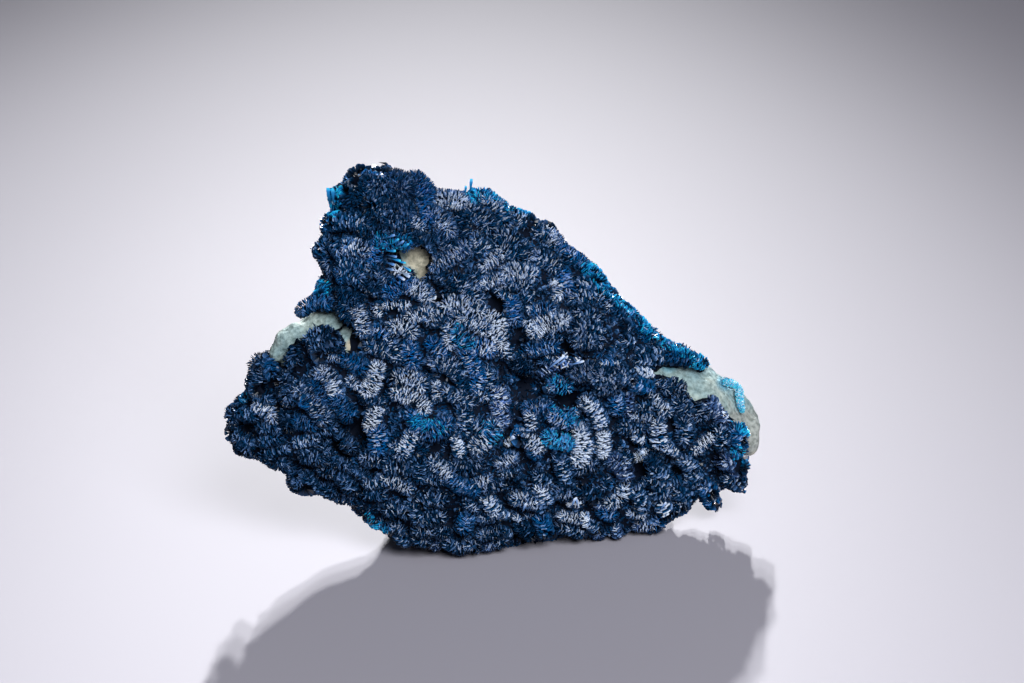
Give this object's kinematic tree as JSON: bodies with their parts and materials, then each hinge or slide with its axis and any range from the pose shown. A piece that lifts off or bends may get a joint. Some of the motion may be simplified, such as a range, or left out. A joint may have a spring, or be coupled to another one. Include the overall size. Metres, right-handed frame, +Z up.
{
  "type": "mineral specimen",
  "caption": "Small display mineral specimen: a crust of dark blue bladed veszelyite crystals in ridges over pale green rock, standing on its lower edge.",
  "frame": {"origin": "on the floor, under the middle of the specimen's box", "axes": "+Z up, +X to the right of the crystal-covered face, which looks towards -Y and leans back"},
  "size_m": [0.0542, 0.0228, 0.0378],
  "materials": {
    "pale_rock": "rough broken rock",
    "blue_crystals": "shiny thin blades",
    "light_blue_crystals": "fine crystals"
  },
  "bodies": {
    "root": {"matrix": "pale_rock", "veszelyite_crust": "blue_crystals", "turquoise_streak": "light_blue_crystals"}
  },
  "joints": []
}
